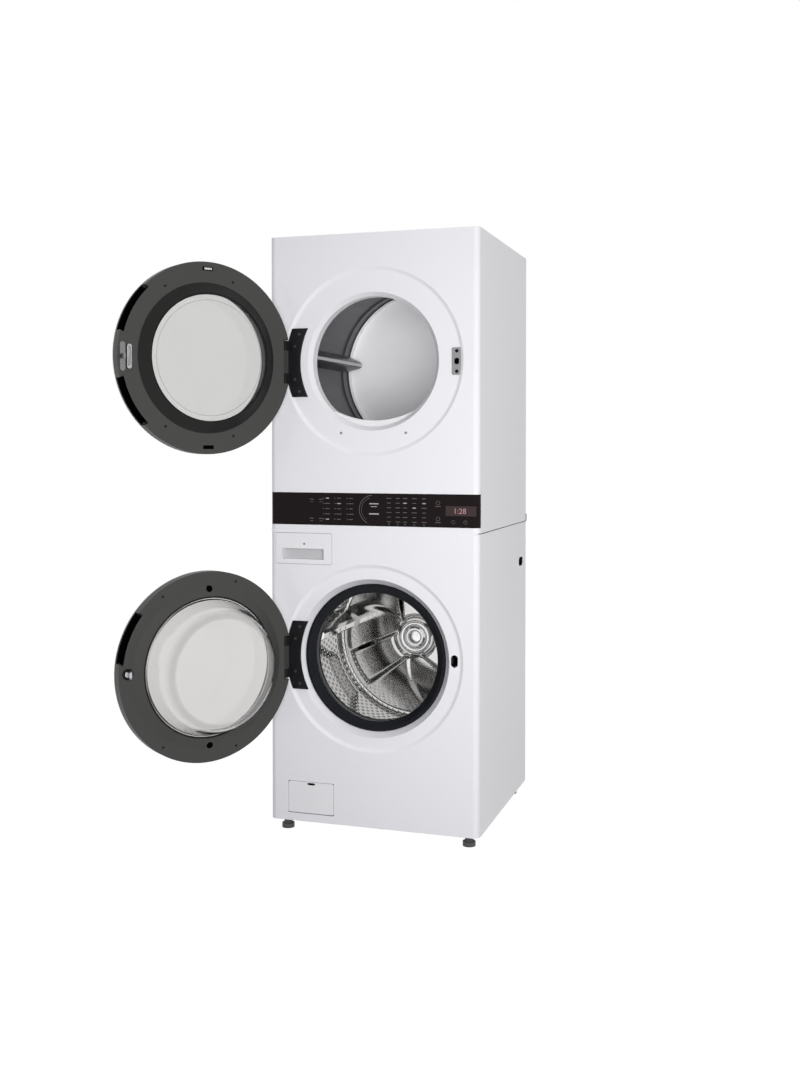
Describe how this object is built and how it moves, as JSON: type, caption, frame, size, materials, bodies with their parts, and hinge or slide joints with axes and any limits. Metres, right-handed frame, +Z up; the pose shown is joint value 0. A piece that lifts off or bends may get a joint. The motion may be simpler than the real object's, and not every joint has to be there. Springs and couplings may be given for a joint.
{
  "type": "washer dryer stack",
  "caption": "Laundry tower: front-loading washer below, vented dryer above, one control panel between, both round doors open on left-hand hinges.",
  "frame": {"origin": "on the floor, at the centre of the four feet and of the cabinet", "axes": "+X to the right of someone facing the doors, +Y from the doors to the back, +Z up"},
  "size_m": [0.9633, 1.2166, 1.889],
  "materials": {
    "white_enamel": "smooth baked enamel",
    "zinc_sheet": "galvanised sheet",
    "stack_steel": "black painted steel",
    "panel_glass": "glossy near-black glass",
    "bezel_white": "smooth white plastic",
    "circuit_board": "green circuit board",
    "box_plastic": "moulded white plastic",
    "port_plastic": "moulded plastic with metal threads",
    "hose_rubber": "ribbed hose rubber",
    "tub_plastic": "filled moulded plastic",
    "weight_iron": "rough cast block",
    "spring_steel": "drawn steel",
    "gasket_rubber": "satin dark grey rubber",
    "clamp_steel": "steel band",
    "bearing_steel": "ground steel",
    "stator_plastic": "wound stator, moulded over",
    "pump_plastic": "moulded plastic",
    "latch_metal": "zinc plated catch in a dark case",
    "hinge_black": "satin black",
    "bulkhead_grey": "light grey coated steel",
    "felt_black": "dense felt",
    "motor_steel": "painted motor case",
    "belt_rubber": "ribbed belt",
    "duct_plastic": "moulded duct plastic",
    "duct_steel": "bright sheet",
    "stainless": "bright stainless steel",
    "rotor_steel": "pressed steel cup",
    "door_white": "smooth white plastic",
    "door_dark": "satin dark grey plastic",
    "bowl_glass": "clear moulded glass",
    "door_glass": "lightly tinted glass",
    "arm_metal": "dark grey painted casting",
    "strike_metal": "bright plated",
    "drawer_plastic": "smooth white plastic",
    "filter_plastic": "white frame with fine mesh",
    "cap_plastic": "blue moulded cap",
    "drum_grey": "dark grey powder coat",
    "roller_rubber": "rubber tread",
    "fan_plastic": "moulded wheel",
    "foot_black": "black moulded pad on a steel stem"
  },
  "bodies": {
    "cabinet": {"base_pan": "zinc_sheet", "washer_cabinet": "white_enamel", "washer_front": "white_enamel", "stack_plate": "stack_steel", "dryer_cabinet": "white_enamel", "dryer_front": "white_enamel", "top_panel": "white_enamel", "back_covers": "zinc_sheet", "control_bezel": "bezel_white", "control_glass": "panel_glass", "control_board": "circuit_board", "dispenser_box": "box_plastic", "water_ports": "port_plastic", "inner_hoses": "hose_rubber", "tub_front": "tub_plastic", "tub_rear": "tub_plastic", "counterweights": "weight_iron", "tub_suspension": "spring_steel", "door_gasket": "gasket_rubber", "gasket_clamp": "clamp_steel", "drum_bearings": "bearing_steel", "motor_stator": "stator_plastic", "drain_pump": "pump_plastic", "door_latches": "latch_metal", "hinge_brackets": "hinge_black", "front_bulkhead": "bulkhead_grey", "rear_bulkhead": "bulkhead_grey", "drum_felts": "felt_black", "dryer_motor": "motor_steel", "drive_belt": "belt_rubber", "blower_housing": "duct_plastic", "heater_duct": "duct_steel", "exhaust_pipe": "duct_steel", "lint_duct": "duct_plastic", "terminal_cover": "zinc_sheet"},
    "washer_drum": {"washer_basket": "stainless", "washer_lifters": "stainless", "motor_rotor": "rotor_steel"},
    "washer_door": {"washer_door_cover": "door_white", "washer_door_liner": "door_dark", "washer_door_bowl": "bowl_glass", "washer_door_arm": "arm_metal", "washer_door_striker": "strike_metal"},
    "dryer_door": {"dryer_door_cover": "door_white", "dryer_door_liner": "door_dark", "dryer_door_glass": "door_glass", "dryer_door_arm": "arm_metal", "dryer_door_striker": "strike_metal"},
    "dryer_drum": {"dryer_drum": "drum_grey"},
    "roller_left": {"roller_left": "roller_rubber"},
    "roller_right": {"roller_right": "roller_rubber"},
    "fan_shaft": {"blower_wheel": "fan_plastic"},
    "detergent_drawer": {"detergent_drawer": "drawer_plastic"},
    "lint_filter": {"lint_filter": "filter_plastic"},
    "pump_cover": {"pump_cover": "door_white"},
    "pump_cap": {"pump_cap": "cap_plastic"},
    "foot_front_left": {"foot_front_left": "foot_black"},
    "foot_front_right": {"foot_front_right": "foot_black"},
    "foot_rear_left": {"foot_rear_left": "foot_black"},
    "foot_rear_right": {"foot_rear_right": "foot_black"}
  },
  "joints": [
    {"name": "washer_door_hinge", "type": "hinge", "parent": "cabinet", "child": "washer_door", "pos_m": [-0.28, -0.369, 0.566], "axis": [0, 0, 1], "range_deg": [0, 126]},
    {"name": "dryer_door_hinge", "type": "hinge", "parent": "cabinet", "child": "dryer_door", "pos_m": [-0.28, -0.369, 1.491], "axis": [0, 0, 1], "range_deg": [0, 126]},
    {"name": "washer_drum_spin", "type": "hinge", "parent": "cabinet", "child": "washer_drum", "pos_m": [0, 0, 0.566], "axis": [0, 1, 0], "continuous": true},
    {"name": "dryer_drum_spin", "type": "hinge", "parent": "cabinet", "child": "dryer_drum", "pos_m": [0, 0, 1.491], "axis": [0, 1, 0], "continuous": true},
    {"name": "roller_left_spin", "type": "hinge", "parent": "cabinet", "child": "roller_left", "pos_m": [-0.15, 0, 1.21026], "axis": [0, 1, 0], "continuous": true},
    {"name": "roller_right_spin", "type": "hinge", "parent": "cabinet", "child": "roller_right", "pos_m": [0.15, 0, 1.21026], "axis": [0, 1, 0], "continuous": true},
    {"name": "fan_shaft_spin", "type": "hinge", "parent": "cabinet", "child": "fan_shaft", "pos_m": [0.205, 0, 1.0685], "axis": [0, 1, 0], "continuous": true},
    {"name": "drawer_slide", "type": "slide", "parent": "cabinet", "child": "detergent_drawer", "axis": [0, -1, 0], "range_m": [0, 0.2]},
    {"name": "lint_filter_lift", "type": "slide", "parent": "cabinet", "child": "lint_filter", "axis": [0, 0, 1], "range_m": [0, 0.17]},
    {"name": "pump_cover_hinge", "type": "hinge", "parent": "cabinet", "child": "pump_cover", "pos_m": [-0.204, -0.335, 0.067], "axis": [1, 0, 0], "range_deg": [0, 75]},
    {"name": "pump_cap_turn", "type": "hinge", "parent": "cabinet", "child": "pump_cap", "pos_m": [-0.204, 0, 0.108], "axis": [0, 1, 0], "range_deg": [0, 90]},
    {"name": "foot_front_left_level", "type": "slide", "parent": "cabinet", "child": "foot_front_left", "axis": [0, 0, -1], "range_m": [0, 0.02]},
    {"name": "foot_front_right_level", "type": "slide", "parent": "cabinet", "child": "foot_front_right", "axis": [0, 0, -1], "range_m": [0, 0.02]},
    {"name": "foot_rear_left_level", "type": "slide", "parent": "cabinet", "child": "foot_rear_left", "axis": [0, 0, -1], "range_m": [0, 0.02]},
    {"name": "foot_rear_right_level", "type": "slide", "parent": "cabinet", "child": "foot_rear_right", "axis": [0, 0, -1], "range_m": [0, 0.02]}
  ],
  "couplings": [
    {"joint": "roller_left_spin", "follows": "dryer_drum_spin", "ratio": -7.8333},
    {"joint": "roller_right_spin", "follows": "dryer_drum_spin", "ratio": -7.8333},
    {"joint": "fan_shaft_spin", "follows": "dryer_drum_spin", "ratio": 25.636}
  ]
}
